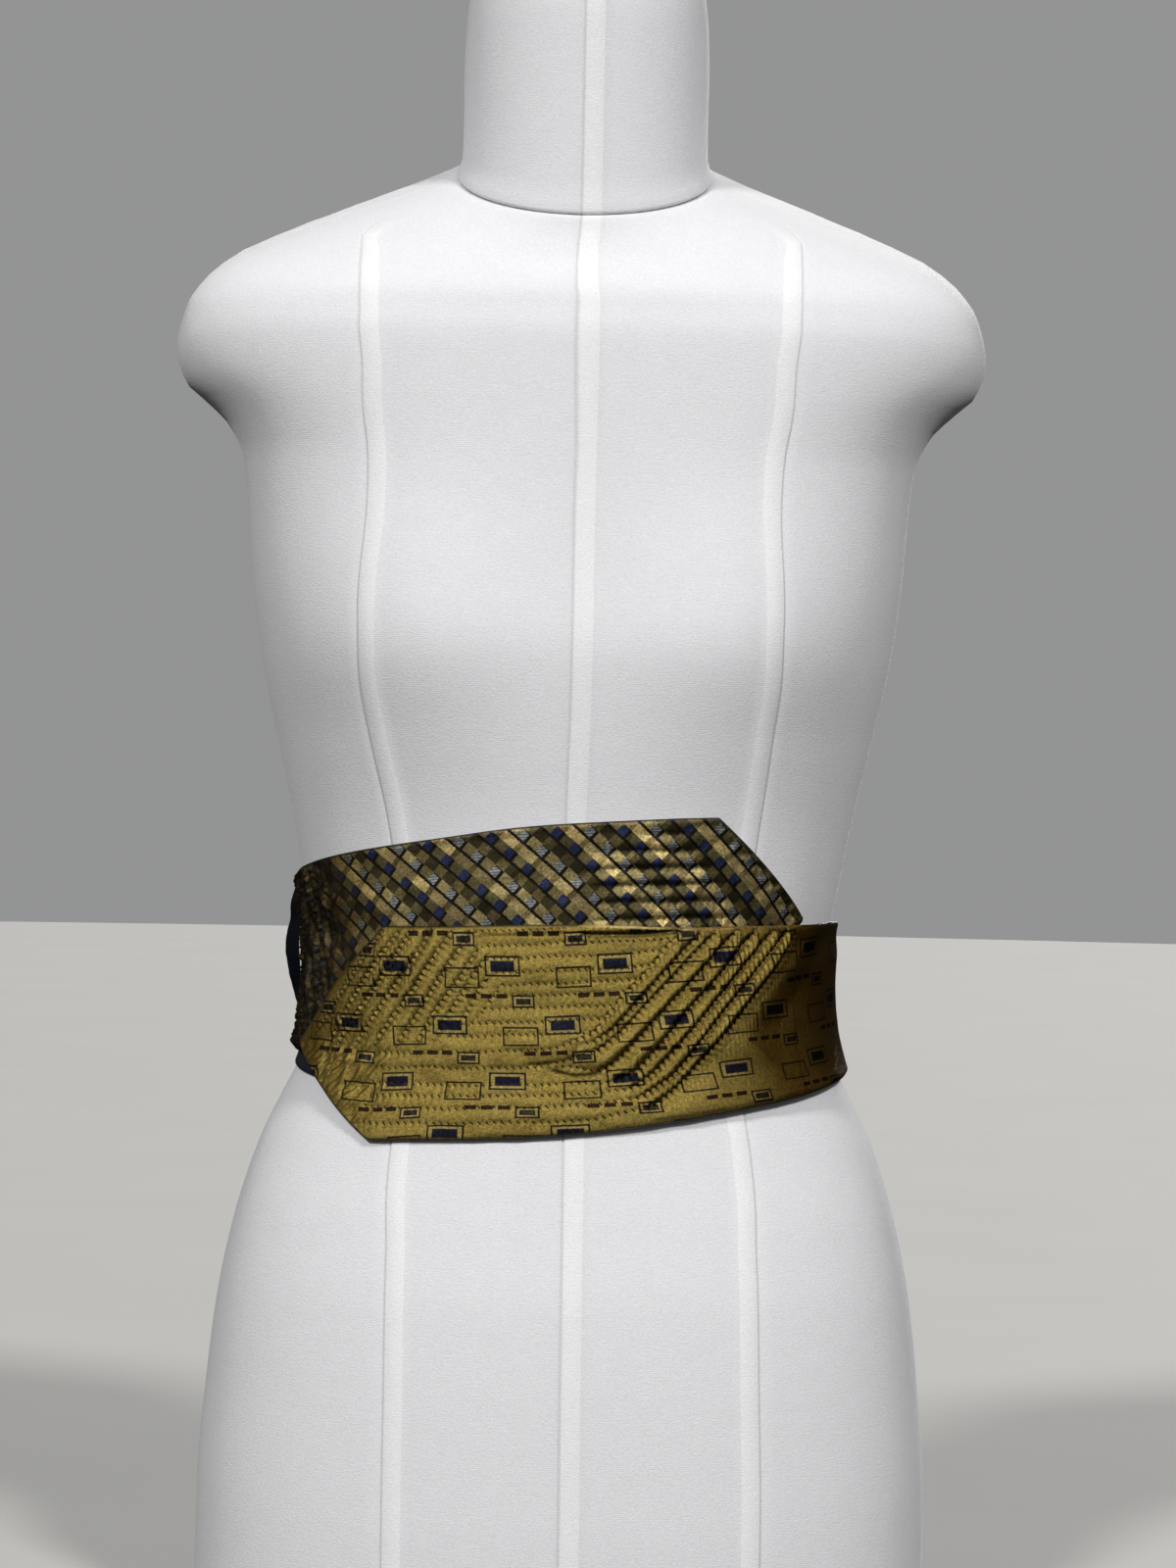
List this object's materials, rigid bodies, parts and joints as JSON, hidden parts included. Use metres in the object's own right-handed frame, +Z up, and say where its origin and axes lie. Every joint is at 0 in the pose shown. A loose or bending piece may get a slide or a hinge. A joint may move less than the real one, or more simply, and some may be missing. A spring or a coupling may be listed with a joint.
{
  "type": "obi sash on dress form",
  "caption": "Quilted silk obi sash of two pointed necktie blades crossed over a satin band, worn on a limbless cloth-covered dress form that stands on its base.",
  "frame": {"origin": "on the floor, on the form's upright centre line, in the middle of the base board's underside", "axes": "+Z up, -Y the way the form faces, +X to the viewer's right from the front"},
  "size_m": [0.388, 0.233, 0.7855],
  "materials": {
    "form_cloth": "white fine knit, matte",
    "base_board": "painted board, matte",
    "gold_silk": "old gold jacquard silk satin, quilted, with navy woven boxes",
    "patterned_silk": "gold, olive and navy jacquard silk in a slanting check, quilted near the point",
    "navy_satin": "slate navy satin"
  },
  "bodies": {
    "root": {"form_base": "base_board", "form_torso": "form_cloth", "form_neck": "form_cloth", "navy_band": "navy_satin", "patterned_blade": "patterned_silk", "gold_blade": "gold_silk", "navy_loop": "navy_satin", "navy_tape": "navy_satin"}
  },
  "joints": []
}
